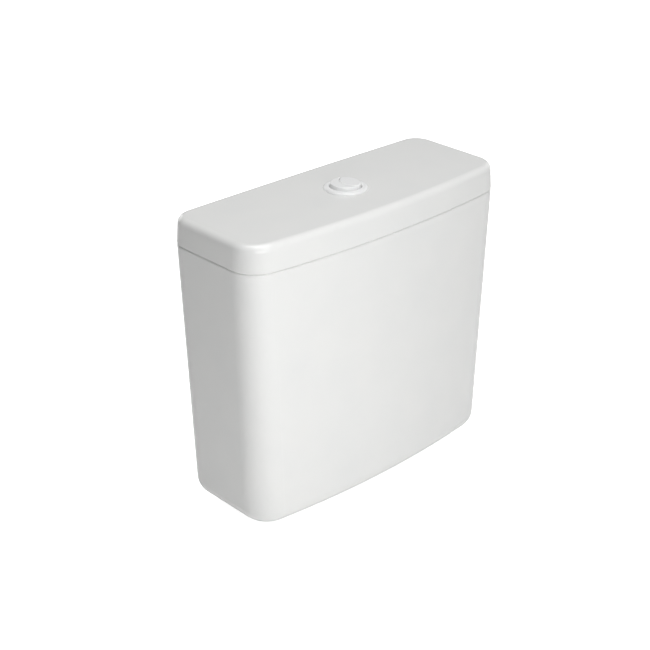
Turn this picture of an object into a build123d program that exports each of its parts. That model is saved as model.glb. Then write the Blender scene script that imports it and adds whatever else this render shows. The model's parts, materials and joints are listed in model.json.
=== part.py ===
from build123d import *
import math
import os

os.makedirs("parts", exist_ok=True)

# Toilet cistern. Units are mm, Z up, X to the right seen from the front, front towards -Y.
# The origin is the outlet axis on the foot plane of the tank.

# Tank, outside
inlet_to_side = 68.0
side_taper = 10.75
back_y = 75.0
rim_front_y = -74.5
front_taper = 3.8
rim_bow = 14.5
base_bow = 13.7
rim_front_radius = 33.0
base_front_radius = 34.0
rim_back_radius = 26.0
base_back_radius = 33.0
rim_z = 312.0
base_round = 20.0
rim_outer_round = 2.5
rim_inner_round = 1.5

# Tank, inside and under
wall = 10.0
floor_underside = 10.0
floor_thickness = 12.0
floor_round = 12.0
foot_width = 6.0
outlet_hole_gap = 2.0
bolt_hole_radius = 5.5
inlet_hole_radius = 11.5
bolt_spacing = 150.0

# Wall pads with their screw holes, on the back
wall_pad_inset = 80.0
wall_pad_z = 272.0
wall_pad_radius = 14.0
wall_pad_rise = 1.0
wall_hole_radius = 4.0

# Lid
lid_height = 31.0
lid_draft = 2.1
lid_edge_round = 8.0
lid_under_round = 1.2
lid_crown = 1.0
lid_crown_overhang = 15.0
lid_plate = 12.0
lip_depth = 6.0
lip_gap = 1.5
lip_width = 6.5
lid_cavity_round = 5.0
button_hole_radius = 20.0
seat_depth = 0.4
seat_gap = 0.3

# Button bezel
bezel_flange_radius = 24.75
bezel_flange_edge = 1.0
bezel_chamfer_width = 1.4
bezel_chamfer_rise = 1.7
bezel_ring_radius = 19.4
bezel_ring_rise = 3.4
bezel_mouth_radius = 18.3
bezel_mouth_rise = 2.8
bezel_bore_start_rise = 0.6
bezel_shank_gap = 0.8
bezel_bore_wall = 1.85
bezel_shank_length = 31.0
web_rise = 7.5
web_thickness = 2.5
bezel_nut_radius = 26.0
bezel_nut_height = 7.0
bezel_nut_lug = 1.6
bezel_nut_lug_width = 5.0
bezel_nut_lugs = 8
bezel_washer_height = 2.0
thread_gap = 0.1

# Button caps, springs and push rods
button_gap = 0.35
button_rise = 6.5
button_top = 3.0
button_skirt = 9.5
button_wall = 1.4
button_split_gap = 0.4
button_split_radius = 19.5
button_split_x = 14.5
button_split_y = -2.5
full_button_round = 1.6
half_button_round = 0.9
full_stem_x = 6.0
half_stem_x = -11.0
stem_radius = 2.6
stem_length = 40.5
stem_bore_depth = 12.0
spring_wire_radius = 0.35
spring_mean_radius = 3.6
spring_turns = 6
spring_seat_gap = 0.02
push_rod_radius = 1.75
push_rod_gap = 0.05
foot_radius = 4.0
foot_height = 2.0
rod_nut_radius = 3.8
rod_nut_height = 2.5

# Levers
lever_pivot_z = 258.0
hook_pin_gap = 1.9
pad_rise = 12.0
pad_radius = 4.0
lift_pin_radius = 2.2
lever_boss_radius = 3.6
lever_inner_y = 5.2
lever_plate = 1.8
lift_pin_inner_y = 3.0
lever_pin_radius = 2.0
lever_pin_fit = 0.02
lever_run = 0.06
lever_contact_gap = 0.3
pin_head_radius = 3.2
pin_head_height = 1.2

# Lever bracket
post_gap = 1.2
post_width = 3.0
post_half_length = 4.0
post_above_pivot = 4.5
bracket_plate = 3.0
bracket_hole_gap = 1.25
bracket_ring_width = 6.2
bracket_bar_end = 3.0

# Flush valve base
tail_radius = 28.0
tail_wall = 4.0
tail_depth = 22.0
base_flange_reach = 15.0
base_flange = 4.0
washer_height = 3.0
seat_z = 62.0
seat_lip_height = 2.0
seat_lip_width = 2.0
seat_lip_inset = 0.6
duct_half_width = 11.0
duct_low = 38.0
duct_height = 18.0
duct_wall = 2.5
standpipe_radius = 12.0
standpipe_bore_radius = 10.0
half_seat_z = 128.0
half_lip_width = 1.2
washer_bore_gap = 0.6

# Under the floor
lock_nut_wall = 6.5
lock_nut_height = 11.0
lock_nut_notch = 2.0
lock_nut_notch_width = 6.0
lock_nut_notches = 8
gasket_beyond_flange = 0.5
gasket_step = 3.5
gasket_depth = 12.0
gasket_nut_gap = 0.3
gasket_tail_gap = 0.4

# Valve housing
top_plate_z = 230.0
top_plate = 4.0
top_plate_margin = 2.0
guide_gap = 0.4
bar_half_width = 12.0
housing_post_radius = 3.0
housing_edge_gap = 1.0
housing_foot_width = 8.0
housing_foot_height = 4.0
housing_ring_z = 84.0
housing_ring_height = 4.0
housing_ring_inner_step = 1.0
housing_ring_outer_step = 0.5
housing_post_start_angle = 45.0
housing_posts = 4
rod_guide_run = 0.08

# Overflow tube and main seal
overflow_radius = 16.0
overflow_wall = 2.0
overflow_top = 245.0
seal_beyond_lip = 2.9
seal_height = 3.0
seal_beyond_carrier = 2.5
carrier_height = 5.0
carrier_hub_wall = 4.0
carrier_hub_height = 15.0
push_fit = 0.05
full_float_post_gap = 2.0
full_float_z = 120.0
full_float_height = 36.0
full_float_gap = 0.3
full_float_round = 4.0
clip_width = 5.0
clip_height = 4.0
hook_ring_width = 3.5
hook_ring_height = 9.0
hook_half_width = 4.2
hook_riser = 4.0
hook_arm_height = 4.0
hook_arm_overhang = 4.5

# Half-flush valve
half_rod_radius = 2.5
half_seal_radius = 14.0
half_seal_height = 2.5
half_carrier_radius = 13.0
half_carrier_height = 3.5
half_float_radius = 12.0
half_float_z = 165.0
half_float_height = 32.0
half_float_round = 3.0
half_clip_radius = 5.5
half_clip_height = 3.0
collar_radius = 5.0
collar_height = 3.0
rod_end_height = 3.0

# Fill valve
lift_to_inlet = 67.0
shank_radius = 10.48
shank_relief = 0.18
shank_depth = 20.0
shank_exposed_top = 1.0
shank_bore_radius = 6.0
fill_flange_radius = 19.0
fill_flange = 4.0
fill_shell_radius = 13.0
fill_shell_wall = 2.0
fill_pipe_radius = 8.0
fill_body_top = 206.0
fill_slot_low = 36.0
fill_slot_height = 10.0
fill_slot_width = 6.0
inlet_nut_radius = 17.3
inlet_nut_height = 8.5
filter_flange_radius = 7.8
filter_flange = 1.5
filter_counterbore_gap = 0.2
filter_radius = 5.4
filter_length = 12.0
filter_wall = 1.0
filter_slots = 6
filter_slot_width = 1.6
filter_slot_height = 7.0
head_radius = 19.0
head_socket = 6.0
head_height = 32.0
head_chamber_radius = 11.5
head_chamber_height = 20.0
head_round = 2.0
diaphragm_gap = 0.5
diaphragm_height = 2.5
ear_inner_y = 4.2
ear_width = 2.8
ear_half_length = 5.0
ear_height = 16.5
arm_pin_rise = 12.0
arm_pin_radius = 1.8
arm_reach = 31.0
arm_tail = 10.0
arm_half_width = 3.6
arm_thickness = 2.8
arm_hub_radius = 3.6
arm_fork_start = 20.0
tine_inner_y = 2.4
tine_outer_y = 5.6
tine_thickness = 2.0
tine_boss_radius = 2.4
plunger_offset = 6.5
plunger_radius = 1.4
plunger_run = 0.06
plunger_gap = 0.2
plunger_depth = 4.0

# Fill float and level rod
fill_float_radius = 26.0
fill_float_bore_gap = 1.0
fill_float_wall = 1.6
fill_float_z = 160.0
fill_float_height = 37.0
lug_height = 7.0
lug_half_width = 6.5
lug_beyond = 7.0
lug_overlap = 4.0
level_rod_radius = 2.0
level_rod_low = 178.0
level_rod_run = 0.06
level_collar_radius = 3.6
level_collar_height = 2.0
level_collar_gap = 0.4
level_knob_radius = 4.5
level_knob_height = 5.0
level_knob_rise = 10.0
level_knob_notch = 1.2

# Refill tube
refill_radius = 2.4
refill_bore_radius = 1.6
refill_bend = 24.0
refill_run_z = 288.0
refill_tip_z = 249.0
refill_mouth_inset = 2.8
spout_y = -24.0
spout_half_width = 4.0
spout_low = 222.0
spout_height = 8.0
barb_height = 8.0
barb_bore_radius = 0.8
clip_ring_low = 257.0
clip_ring_height = 3.0
clip_ring_wall = 1.0
clip_opening = 2.6
clip_post_inset = 1.7
clip_post_half_width = 3.0
clip_post_half_depth = 1.5
clip_foot_half = 3.5
clip_foot_height = 2.0

# Coupling bolts
bolt_radius = 4.0
bolt_relief = 0.3
bolt_tip_z = -33.0
bolt_washer_radius = 12.5
steel_washer_radius = 11.0
steel_washer_height = 1.5
bolt_washer_gap = 0.3
bolt_head_radius = 7.5
bolt_head_height = 5.5
bolt_slot_width = 1.6
bolt_slot_depth = 2.0
hex_nut_height = 6.5

# One overrun for every cut
over = 1.0

# Flush valve sizes that follow from the tail
tail_bore_radius = tail_radius - tail_wall
base_flange_radius = tail_radius + base_flange_reach
outlet_hole_radius = tail_radius + outlet_hole_gap
lock_nut_radius = tail_radius + lock_nut_wall
gasket_upper_radius = base_flange_radius + gasket_beyond_flange
gasket_lower_radius = gasket_upper_radius - gasket_step
seat_lip_inner = tail_bore_radius + seat_lip_inset
seal_radius = seat_lip_inner + seat_lip_width + seal_beyond_lip
carrier_radius = seal_radius - seal_beyond_carrier
housing_foot_outer = base_flange_radius - housing_edge_gap
housing_foot_inner = housing_foot_outer - housing_foot_width
housing_post_reach = housing_foot_outer - housing_foot_width / 2
housing_ring_inner = housing_foot_inner + housing_ring_inner_step
housing_ring_outer = housing_foot_outer - housing_ring_outer_step
top_plate_radius = housing_post_reach + housing_post_radius + top_plate_margin
full_float_radius = housing_post_reach - housing_post_radius - full_float_post_gap

# Sizes that follow from the overflow tube
overflow_bore_radius = overflow_radius - overflow_wall
carrier_hub_radius = overflow_radius + carrier_hub_wall
clip_radius = overflow_radius + clip_width
hook_ring_bore = overflow_radius + push_fit
hook_ring_radius = hook_ring_bore + hook_ring_width
hook_riser_start = hook_ring_bore + push_fit
hook_riser_end = hook_riser_start + hook_riser
bracket_hole_radius = hook_ring_radius + bracket_hole_gap
bracket_radius = bracket_hole_radius + bracket_ring_width
refill_mouth_y = refill_mouth_inset - overflow_bore_radius
clip_post_y = -bracket_hole_radius - clip_post_inset

# Places along X: lever pivots, half-flush valve, fill valve, then the tank's end
full_pivot_x = hook_riser_end + hook_pin_gap + lever_pin_radius
pad_reach = full_pivot_x - full_stem_x
half_pivot_x = half_stem_x - pad_reach
half_lift_x = -base_flange_radius - standpipe_radius
lift_reach = half_pivot_x - half_lift_x
full_lift_x = full_pivot_x + lift_reach
inlet_x = half_lift_x - lift_to_inlet
level_x = inlet_x + arm_reach
bolt_x = bolt_spacing / 2
rim_half_width = inlet_to_side - inlet_x
base_half_width = rim_half_width - side_taper
base_front_y = rim_front_y + front_taper
wall_pad_x = rim_half_width - wall_pad_inset
lid_crown_reach = rim_half_width + lid_crown_overhang

# Levels and insets that follow from the sizes above
floor_z = floor_underside + floor_thickness
foot_inset = base_round + foot_width
lid_top = rim_z + lid_height
lid_under = lid_top - lid_plate
lip_inset = wall + lip_gap
lip_inner_inset = lip_inset + lip_width
bezel_seat_z = lid_top - seat_depth
shank_outer = button_hole_radius - bezel_shank_gap
shank_bore = shank_outer - bezel_bore_wall
bezel_bottom = bezel_seat_z - bezel_shank_length
web_low = bezel_bottom + web_rise
web_high = web_low + web_thickness
bezel_washer_low = lid_under - bezel_washer_height
bezel_nut_low = bezel_washer_low - bezel_nut_height
button_radius = shank_bore - button_gap
button_top_z = lid_top + button_rise
button_under_z = button_top_z - button_top
stem_bottom = button_under_z - stem_length
pad_z = lever_pivot_z + pad_rise
foot_z = pad_z + pad_radius + lever_contact_gap
lift_face_z = lever_pivot_z + lift_pin_radius + lever_contact_gap
lever_outer_y = lever_inner_y + lever_plate
post_inner_y = lever_outer_y + post_gap
post_outer_y = post_inner_y + post_width
top_plate_top = top_plate_z + top_plate
bracket_top = top_plate_top + bracket_plate
flange_low = floor_z + washer_height
flange_top = flange_low + base_flange
fill_flange_top = flange_low + fill_flange
seal_top = seat_z + seal_height
half_seal_top = half_seat_z + half_seal_height
head_low = fill_body_top - head_socket
head_top = head_low + head_height
arm_pin_z = head_top + arm_pin_rise
under_washer_low = floor_underside - steel_washer_height
hex_low = under_washer_low - hex_nut_height


def disc(radius, low, high, x=0.0, y=0.0):
    """Upright cylinder between two levels."""
    return Pos(x, y, low) * extrude(Circle(radius), high - low)


def ring(outer, inner, low, high, x=0.0, y=0.0):
    """Upright tube between two levels."""
    return Pos(x, y, low) * extrude(Circle(outer) - Circle(inner), high - low)


def block(x0, x1, y0, y1, z0, z1):
    """Box between two corners."""
    middle = Pos((x0 + x1) / 2, (y0 + y1) / 2, (z0 + z1) / 2)
    return middle * Box(x1 - x0, y1 - y0, z1 - z0)


def hexagon(radius, bore, low, high, x=0.0, y=0.0):
    """Hexagonal nut with a plain bore."""
    return Pos(x, y, low) * extrude(RegularPolygon(radius, 6) - Circle(bore), high - low)


def pin_y(radius, x, z, y0, y1):
    """Cylinder lying along Y."""
    return Pos(x, y0, z) * Rot(-90, 0, 0) * extrude(Circle(radius), y1 - y0)


def plate_y(sketch, y0, y1):
    """Sketch drawn in X and Z, given its thickness along Y."""
    return extrude(Plane.XZ.offset(-y1) * sketch, y1 - y0)


def lathe(points):
    """Solid turned about Z from an outline of radius and height."""
    corners = [(radius, 0, height) for radius, height in points]
    return revolve(make_face(Polyline(corners, close=True)), Axis.Z)


def plan_wire(half_width, front_y, bow, front_radius, back_radius, inset, z):
    """Closed outline in plan: straight back and sides, bowed front, four rounded corners."""
    bow_radius = (half_width**2 + bow**2) / (2 * bow)
    bow_y = front_y + bow_radius
    corner_x = half_width - front_radius
    corner_y = bow_y - math.sqrt((bow_radius - front_radius) ** 2 - corner_x**2)
    back_x = half_width - back_radius
    back_corner_y = back_y - back_radius
    side = half_width - inset
    back = back_y - inset
    lean = Vector(corner_x, corner_y - bow_y, 0).normalized()
    front_r = front_radius - inset
    back_r = back_radius - inset
    middle = (lean + Vector(1, 0, 0)).normalized() * front_r
    touch = lean * (bow_radius - inset)
    slant = back_r * math.sqrt(2) / 2
    a = (side, corner_y, z)
    b = (side, back_corner_y, z)
    c = (back_x, back, z)
    d = (-back_x, back, z)
    e = (-side, back_corner_y, z)
    f = (-side, corner_y, z)
    g = (-touch.X, bow_y + touch.Y, z)
    h = (touch.X, bow_y + touch.Y, z)
    return Wire(
        [
            Edge.make_line(a, b),
            Edge.make_three_point_arc(b, (back_x + slant, back_corner_y + slant, z), c),
            Edge.make_line(c, d),
            Edge.make_three_point_arc(d, (-back_x - slant, back_corner_y + slant, z), e),
            Edge.make_line(e, f),
            Edge.make_three_point_arc(f, (-corner_x - middle.X, corner_y + middle.Y, z), g),
            Edge.make_three_point_arc(g, (0, front_y + inset, z), h),
            Edge.make_three_point_arc(h, (corner_x + middle.X, corner_y + middle.Y, z), a),
        ]
    )


def between(low, high, share):
    """Value part of the way from one to the other."""
    return low + (high - low) * share


def tank_wire(inset, z):
    """Tank outline at a level, moved inwards by the inset."""
    share = z / rim_z
    return plan_wire(
        between(base_half_width, rim_half_width, share),
        between(base_front_y, rim_front_y, share),
        between(base_bow, rim_bow, share),
        between(base_front_radius, rim_front_radius, share),
        between(base_back_radius, rim_back_radius, share),
        inset,
        z,
    )


def lid_wire(inset, z):
    """Lid outline: the rim's, moved inwards by the inset."""
    return plan_wire(
        rim_half_width,
        rim_front_y,
        rim_bow,
        rim_front_radius,
        rim_back_radius,
        inset,
        z,
    )


def prism(wire, height):
    """Straight block over an outline."""
    return extrude(Face(wire), height, dir=(0, 0, 1))


def make_tank():
    """Glazed china tank with its floor, foot ring and holes."""
    body = Solid.make_loft([tank_wire(0, 0), tank_wire(0, rim_z)], ruled=True)
    body = fillet(body.edges().group_by(Axis.Z)[0], base_round)
    body = fillet(body.edges().group_by(Axis.Z)[-1], rim_outer_round)
    hollow = Solid.make_loft([tank_wire(wall, floor_z), tank_wire(wall, rim_z)], ruled=True)
    hollow = fillet(hollow.edges().group_by(Axis.Z)[0], floor_round)
    tank = body - hollow
    inner_rim = [
        edge
        for edge in tank.edges().filter_by_position(Axis.Z, rim_z, rim_z)
        if edge.bounding_box().max.Y < back_y - wall + rim_inner_round
        and abs(edge.center().X) < rim_half_width - wall + rim_inner_round
        and edge.center().Y > rim_front_y + wall - rim_inner_round
    ]
    tank = fillet(inner_rim, rim_inner_round)
    tank -= prism(tank_wire(foot_inset, 0), floor_underside)
    tank -= disc(outlet_hole_radius, 0, floor_z + over)
    tank -= disc(inlet_hole_radius, 0, floor_z + over, inlet_x)
    for x in (-bolt_x, bolt_x):
        tank -= disc(bolt_hole_radius, 0, floor_z + over, x)
    for x in (-wall_pad_x, wall_pad_x):
        pad_back = back_y + wall_pad_rise
        tank += pin_y(wall_pad_radius, x, wall_pad_z, back_y - wall / 2, pad_back)
        tank -= pin_y(wall_hole_radius, x, wall_pad_z, back_y - wall - over, pad_back)
    return tank


def make_lid():
    """Glazed china lid with its locating lip, hollow underside and button hole."""
    body = Solid.make_loft([lid_wire(0, rim_z), lid_wire(lid_draft, lid_top + over)], ruled=True)
    crown_low_z = lid_top - lid_crown
    crown = ThreePointArc(
        (-lid_crown_reach, crown_low_z), (0, lid_top), (lid_crown_reach, crown_low_z)
    )
    sides = Polyline(
        (lid_crown_reach, crown_low_z),
        (lid_crown_reach, rim_z),
        (-lid_crown_reach, rim_z),
        (-lid_crown_reach, crown_low_z),
    )
    outline = make_face(crown.edges() + sides.edges())
    body = body & plate_y(outline, -lid_crown_reach, lid_crown_reach)
    top_face = body.faces().sort_by(Axis.Z)[-1]
    body = fillet(top_face.edges(), lid_edge_round)
    body = fillet(body.edges().group_by(Axis.Z)[0], lid_under_round)
    body += prism(lid_wire(lip_inset, rim_z - lip_depth), lip_depth + over)
    hollow = prism(lid_wire(lip_inner_inset, rim_z - lip_depth), lid_under - rim_z + lip_depth)
    hollow = fillet(hollow.edges().group_by(Axis.Z)[-1], lid_cavity_round)
    body -= hollow
    body -= disc(button_hole_radius, lid_under - over, lid_top + over)
    body -= disc(bezel_flange_radius + seat_gap, bezel_seat_z, lid_top + over)
    return body


def make_bezel():
    """Collar with a threaded shank and the web that guides the stems."""
    outer_top = bezel_seat_z + bezel_flange_edge
    bezel = lathe(
        [
            (shank_bore, bezel_bottom),
            (shank_outer, bezel_bottom),
            (shank_outer, bezel_seat_z),
            (bezel_flange_radius, bezel_seat_z),
            (bezel_flange_radius, outer_top),
            (bezel_flange_radius - bezel_chamfer_width, outer_top + bezel_chamfer_rise),
            (bezel_ring_radius, bezel_seat_z + bezel_ring_rise),
            (bezel_mouth_radius, bezel_seat_z + bezel_mouth_rise),
            (shank_bore, bezel_seat_z + bezel_bore_start_rise),
        ]
    )
    bezel += disc(shank_bore + bezel_bore_wall / 2, web_low, web_high)
    for x in (full_stem_x, half_stem_x):
        bezel -= disc(stem_radius + rod_guide_run, web_low - over, web_high + over, x)
    return bezel


def make_bezel_nut():
    """Round nut with grip lugs."""
    nut = ring(bezel_nut_radius, shank_outer + thread_gap, bezel_nut_low, bezel_washer_low)
    for turn in range(bezel_nut_lugs):
        lug = block(
            bezel_nut_radius - bezel_nut_lug,
            bezel_nut_radius + bezel_nut_lug,
            -bezel_nut_lug_width / 2,
            bezel_nut_lug_width / 2,
            bezel_nut_low,
            bezel_washer_low,
        )
        nut += Rot(0, 0, 360 * turn / bezel_nut_lugs) * lug
    return nut


def cap_region(side, edge_inset, split_inset):
    """Plan of one button: the round collar's inside, parted by an arc."""
    whole = Circle(button_radius - edge_inset)
    inset = button_split_gap / 2 + split_inset
    if side == "full":
        return whole & Pos(button_split_x, button_split_y) * Circle(button_split_radius - inset)
    return whole - Pos(button_split_x, button_split_y) * Circle(button_split_radius + inset)


def make_button(side, x, rounding):
    """Button cap with a skirt and a bored stem."""
    low = button_under_z - button_skirt + button_top
    cap = Pos(0, 0, low) * extrude(cap_region(side, 0, 0), button_top_z - low)
    cap = fillet(cap.faces().sort_by(Axis.Z)[-1].edges(), rounding)
    inner = cap_region(side, button_wall, button_wall)
    cap -= Pos(0, 0, low) * extrude(inner, button_under_z - low)
    cap += disc(stem_radius, stem_bottom, button_under_z + button_top / 2, x)
    cap -= disc(push_rod_radius + push_rod_gap, stem_bottom, stem_bottom + stem_bore_depth, x)
    return cap


def biarc(start, start_way, end, end_way):
    """Two arcs that leave and arrive along the given directions."""
    step = end - start
    ways = start_way + end_way
    spread = 2 * (1 - start_way.dot(end_way))
    along = step.dot(ways)
    reach = (-along + math.sqrt(along**2 + spread * step.dot(step))) / spread
    joint = (start + start_way * reach + end - end_way * reach) * (1 / 2)
    first = Edge.make_tangent_arc(start, start_way, joint)
    return [first, Edge.make_tangent_arc(joint, first.tangent_at(1), end)]


def make_spring(name, x):
    """Compression spring between the web and the underside of a cap."""
    low = web_high + spring_wire_radius + spring_seat_gap
    rise = button_under_z - web_high - 2 * (spring_wire_radius + spring_seat_gap)
    wire = 2 * spring_wire_radius
    slope = rise / (2 * math.pi * spring_mean_radius * spring_turns + 2 * wire)
    quarter_rise = 2 * math.pi * spring_mean_radius * slope / 4
    points = []
    ways = []
    for quarter in range(4 * spring_turns + 1):
        angle = quarter * math.pi / 2
        height = low + slope * wire + quarter * quarter_rise
        along = spring_mean_radius * math.cos(angle)
        across = spring_mean_radius * math.sin(angle)
        points.append(Vector(x + along, across, height))
        ways.append(Vector(-math.sin(angle), math.cos(angle), slope).normalized())
    end_length = wire * math.sqrt(1 + slope**2)
    first = points[0] - ways[0] * end_length
    last = points[-1] + ways[-1] * end_length
    edges = [Edge.make_line(first, points[0])]
    for start, start_way, end, end_way in zip(points, ways, points[1:], ways[1:]):
        edges += biarc(start, start_way, end, end_way)
    edges.append(Edge.make_line(points[-1], last))
    path = Wire(edges)
    gap = 4 * quarter_rise * math.cos(math.atan(slope)) - wire
    print(f"{name}: least gap to itself {gap:.3f} mm")
    return sweep(Plane(origin=first, z_dir=ways[0]) * Circle(spring_wire_radius), path)


def make_push_rod(x):
    """Rod screwed into a stem, with a round foot."""
    rod = disc(push_rod_radius, foot_z, stem_bottom + stem_bore_depth - over, x)
    return rod + disc(foot_radius, foot_z, foot_z + foot_height, x)


def make_rod_nut(x):
    """Lock nut under a stem."""
    bore = push_rod_radius + push_rod_gap
    return hexagon(rod_nut_radius, bore, stem_bottom - rod_nut_height, stem_bottom, x)


def make_lever(pivot_x, way):
    """Two side plates, a pad across one end and two stubs at the other."""
    pad_x = pivot_x - way * pad_reach
    lift_x = pivot_x + way * lift_reach
    outline = make_hull(
        (Pos(pad_x, pad_z) * Circle(pad_radius)).edges()
        + (Pos(pivot_x, lever_pivot_z) * Circle(lever_boss_radius)).edges()
        + (Pos(lift_x, lever_pivot_z) * Circle(lift_pin_radius)).edges()
    )
    lever = pin_y(pad_radius, pad_x, pad_z, -lever_outer_y, lever_outer_y)
    lever += plate_y(outline, lever_inner_y, lever_outer_y)
    lever += plate_y(outline, -lever_outer_y, -lever_inner_y)
    lever += pin_y(lift_pin_radius, lift_x, lever_pivot_z, lift_pin_inner_y, lever_outer_y)
    lever += pin_y(lift_pin_radius, lift_x, lever_pivot_z, -lever_outer_y, -lift_pin_inner_y)
    reach = lever_outer_y + over
    lever -= pin_y(lever_pin_radius + lever_run, pivot_x, lever_pivot_z, -reach, reach)
    return lever


def make_lever_pin(x):
    """Headed pin through the bracket posts."""
    start = -post_outer_y - pin_head_height
    pin = pin_y(lever_pin_radius, x, lever_pivot_z, start, post_outer_y + pin_head_height)
    return pin + pin_y(pin_head_radius, x, lever_pivot_z, start, -post_outer_y)


def make_bracket():
    """Plate on the housing with two pairs of posts for the lever pins."""
    plate = disc(bracket_radius, top_plate_top, bracket_top)
    reach = post_half_length + bracket_bar_end
    plate += block(
        half_pivot_x - reach,
        full_pivot_x + reach,
        -post_outer_y,
        post_outer_y,
        top_plate_top,
        bracket_top,
    )
    plate -= disc(bracket_hole_radius, top_plate_top - over, bracket_top + over)
    post_top = lever_pivot_z + post_above_pivot
    for x in (half_pivot_x, full_pivot_x):
        for low_y, high_y in ((post_inner_y, post_outer_y), (-post_outer_y, -post_inner_y)):
            post = block(
                x - post_half_length,
                x + post_half_length,
                low_y,
                high_y,
                top_plate_top,
                post_top,
            )
            plate += fillet(post.edges().filter_by(Axis.Y).group_by(Axis.Z)[-1], post_half_length / 2)
        reach_y = post_outer_y + over
        plate -= pin_y(lever_pin_radius + lever_pin_fit, x, lever_pivot_z, -reach_y, reach_y)
    return plate


def make_valve_base():
    """Threaded tail, flange and chamber with its seat, open on the left to the half-flush duct."""
    chamber_top = seat_z - seat_lip_height
    base = disc(tail_radius, -tail_depth, chamber_top)
    base += disc(base_flange_radius, flange_low, flange_top)
    base += disc(seat_lip_inner + seat_lip_width, chamber_top, seat_z)
    base -= disc(tail_bore_radius, -tail_depth, chamber_top)
    base -= disc(seat_lip_inner, chamber_top, seat_z)
    return base - duct_hollow()


def duct_hollow():
    """Square way through the duct, from under the half-flush seat into the chamber."""
    return block(
        half_lift_x,
        0,
        duct_wall - duct_half_width,
        duct_half_width - duct_wall,
        duct_low + duct_wall,
        duct_low + duct_height - duct_wall,
    )


def make_duct():
    """Duct welded to the side of the chamber, and the standpipe with the half-flush seat."""
    duct = block(
        half_lift_x,
        0,
        -duct_half_width,
        duct_half_width,
        duct_low,
        duct_low + duct_height,
    )
    half_lip_z = half_seat_z - seat_lip_height
    duct += disc(standpipe_radius, duct_low, half_lip_z, half_lift_x)
    duct += disc(standpipe_bore_radius + half_lip_width, half_lip_z, half_seat_z, half_lift_x)
    duct -= disc(standpipe_bore_radius, duct_low + duct_wall, half_seat_z, half_lift_x)
    duct -= duct_hollow()
    return duct - disc(tail_radius, duct_low - over, duct_low + duct_height + over)


def make_lock_nut():
    """Round nut with grip notches under the floor."""
    low = floor_underside - lock_nut_height
    nut = ring(lock_nut_radius, tail_radius + thread_gap, low, floor_underside)
    for turn in range(lock_nut_notches):
        notch = block(
            lock_nut_radius - lock_nut_notch,
            lock_nut_radius + over,
            -lock_nut_notch_width / 2,
            lock_nut_notch_width / 2,
            low - over,
            floor_underside - lock_nut_notch,
        )
        nut -= Rot(0, 0, 360 * turn / lock_nut_notches) * notch
    return nut


def make_gasket():
    """Stepped cup gasket round the lock nut."""
    nut_low = floor_underside - lock_nut_height
    gasket = disc(gasket_upper_radius, 0, floor_underside)
    gasket += disc(gasket_lower_radius, -gasket_depth, 0)
    gasket -= disc(lock_nut_radius + gasket_nut_gap, nut_low, floor_underside)
    return gasket - disc(tail_radius + gasket_tail_gap, -gasket_depth, nut_low)


def make_housing():
    """Foot ring, posts, brace ring and the top plate that guides the tube and rod."""
    housing = ring(housing_foot_outer, housing_foot_inner, flange_top, flange_top + housing_foot_height)
    housing += ring(
        housing_ring_outer,
        housing_ring_inner,
        housing_ring_z,
        housing_ring_z + housing_ring_height,
    )
    for turn in range(housing_posts):
        angle = housing_post_start_angle + 360 * turn / housing_posts
        housing += Rot(0, 0, angle) * disc(
            housing_post_radius, flange_top, top_plate_z + top_plate / 2, housing_post_reach
        )
    housing += disc(top_plate_radius, top_plate_z, top_plate_top)
    housing += block(half_lift_x, 0, -bar_half_width, bar_half_width, top_plate_z, top_plate_top)
    housing += disc(bar_half_width, top_plate_z, top_plate_top, half_lift_x)
    guide = overflow_radius + guide_gap
    housing -= disc(guide, top_plate_z - over, top_plate_top + over)
    rod_guide = half_rod_radius + rod_guide_run
    housing -= disc(rod_guide, top_plate_z - over, top_plate_top + over, half_lift_x)
    return housing


def make_hook():
    """Ring on the overflow tube with a riser and the arm that the lever lifts."""
    low = overflow_top - hook_ring_height
    hook = disc(hook_ring_radius, low, overflow_top)
    arm_top = lift_face_z + hook_arm_height
    hook += block(
        hook_riser_start,
        hook_riser_end,
        -hook_half_width,
        hook_half_width,
        low,
        arm_top,
    )
    hook += block(
        hook_riser_start,
        full_lift_x + hook_arm_overhang,
        -hook_half_width,
        hook_half_width,
        lift_face_z,
        arm_top,
    )
    return hook - disc(hook_ring_bore, low - over, overflow_top + over)


def make_seal_carrier():
    """Disc and hub on the foot of the overflow tube."""
    carrier = disc(carrier_radius, seal_top, seal_top + carrier_height)
    carrier += disc(carrier_hub_radius, seal_top, seal_top + carrier_hub_height)
    return carrier - disc(overflow_radius + push_fit, seal_top, seal_top + carrier_hub_height)


def make_full_float():
    """Ring float round the overflow tube."""
    top = full_float_z + full_float_height
    body = disc(full_float_radius, full_float_z, top)
    body = fillet(body.edges(), full_float_round)
    return body - disc(overflow_radius + full_float_gap, full_float_z, top)


def make_float_clips():
    """Two rings that hold the full-flush float on its tube."""
    inner = overflow_radius + push_fit
    float_top = full_float_z + full_float_height
    lower = ring(clip_radius, inner, full_float_z - clip_height, full_float_z)
    return lower + ring(clip_radius, inner, float_top, float_top + clip_height)


def make_half_rod():
    """Lift rod of the half-flush valve, with the collar that its lever lifts."""
    rod = disc(half_rod_radius, half_seal_top, lift_face_z + collar_height + rod_end_height, half_lift_x)
    return rod + disc(collar_radius, lift_face_z, lift_face_z + collar_height, half_lift_x)


def make_half_float():
    """Small float on the half-flush rod."""
    top = half_float_z + half_float_height
    body = disc(half_float_radius, half_float_z, top, half_lift_x)
    body = fillet(body.edges(), half_float_round)
    return body - disc(half_rod_radius + full_float_gap, half_float_z, top, half_lift_x)


def make_half_clips():
    """Two rings that hold the half-flush float on its rod."""
    inner = half_rod_radius + push_fit
    top = half_float_z + half_float_height
    lower = ring(half_clip_radius, inner, half_float_z - half_clip_height, half_float_z, half_lift_x)
    return lower + ring(half_clip_radius, inner, top, top + half_clip_height, half_lift_x)


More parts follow.
